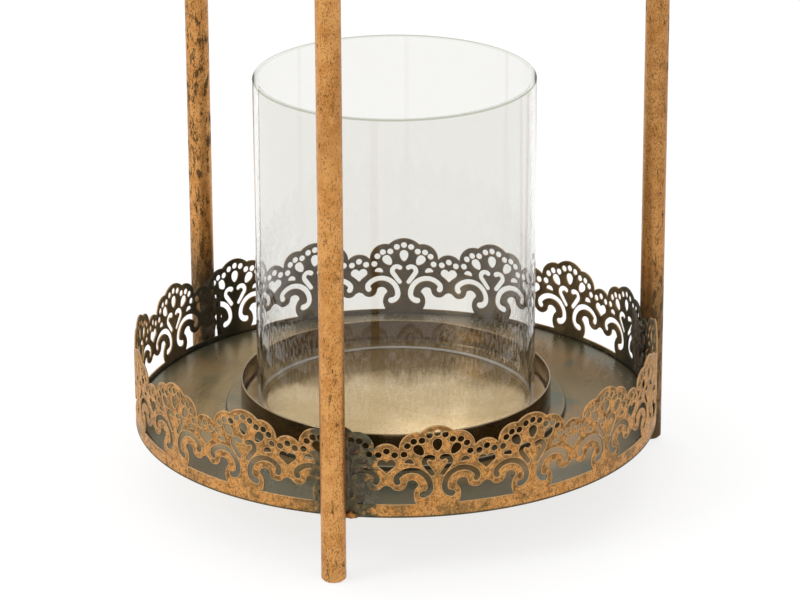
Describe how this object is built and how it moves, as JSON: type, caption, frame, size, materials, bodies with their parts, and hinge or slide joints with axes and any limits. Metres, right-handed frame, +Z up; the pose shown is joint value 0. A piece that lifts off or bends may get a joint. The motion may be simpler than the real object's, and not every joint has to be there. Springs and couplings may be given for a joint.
{
  "type": "pillar candle holder",
  "caption": "Round copper-finished candle tray with a cut lace gallery, a loose glass cylinder in a dish, rods arching to a hub, and a swinging ring.",
  "frame": {"origin": "on the lantern's axis, in the plane of the three feet's lower ends", "axes": "+Z up; -Y towards the front rod; +X to the right of it"},
  "size_m": [0.2256, 0.2359, 0.4066],
  "materials": {
    "lace_copper": "bright antique copper brushed over dark grey-green patina",
    "rod_copper": "antique copper with fine dark specks",
    "floor_metal": "glossy grey-brown bronze",
    "dish_metal": "glossy pale bronze",
    "dark_solder": "dull dark solder and weld",
    "clear_glass": "clear"
  },
  "bodies": {
    "stand": {"tray_pan": "floor_metal", "seat_plate": "floor_metal", "candle_dish": "dish_metal", "lace_gallery": "lace_copper", "rod_front": "rod_copper", "rod_right": "rod_copper", "rod_left": "rod_copper", "solder_front": "dark_solder", "solder_right": "dark_solder", "solder_left": "dark_solder", "weld_front": "dark_solder", "weld_right": "dark_solder", "weld_left": "dark_solder", "hub": "rod_copper", "hub_weld_front": "dark_solder", "hub_weld_right": "dark_solder", "hub_weld_left": "dark_solder", "eye_stud": "rod_copper", "hub_washer": "floor_metal", "hub_nut": "rod_copper"},
    "glass": {"glass_chimney": "clear_glass"},
    "ring": {"ring_handle": "rod_copper"}
  },
  "joints": [
    {"name": "glass_lift", "type": "slide", "parent": "stand", "child": "glass", "axis": [0, 0, 1], "range_m": [0, 0.1]},
    {"name": "ring_swing", "type": "hinge", "parent": "stand", "child": "ring", "pos_m": [0, 0, 0.3956], "axis": [1, 0, 0], "range_deg": [0, 241]}
  ]
}
